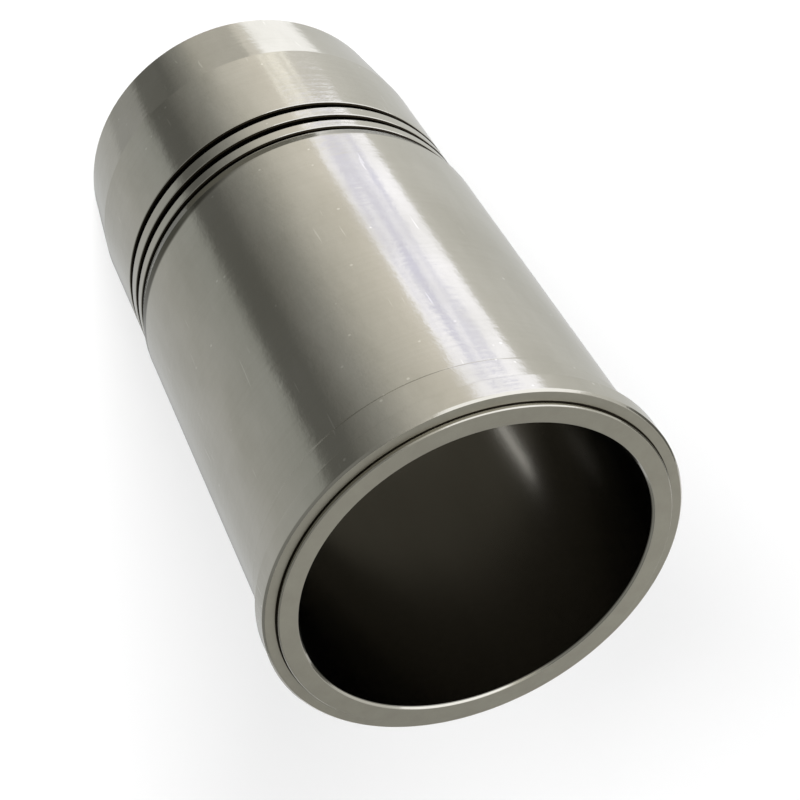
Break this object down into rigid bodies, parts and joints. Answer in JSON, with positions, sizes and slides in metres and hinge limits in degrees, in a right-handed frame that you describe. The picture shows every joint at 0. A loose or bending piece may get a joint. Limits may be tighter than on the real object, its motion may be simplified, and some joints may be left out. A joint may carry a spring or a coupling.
{
  "type": "cylinder liner",
  "caption": "Wet cylinder liner for a heavy diesel engine: a turned iron tube with a top flange and fire ring, grooves for seal rings and a tapered lower end.",
  "frame": {"origin": "centre of the lower end face, on the axis of the bore", "axes": "+Z along the axis of the bore, from the lower end to the flange and the fire ring"},
  "size_m": [0.1637, 0.1638, 0.2895],
  "materials": {
    "machined_iron": "satin turned and ground grey iron, honed bore"
  },
  "bodies": {
    "root": {"cylinder_liner": "machined_iron"}
  },
  "joints": []
}
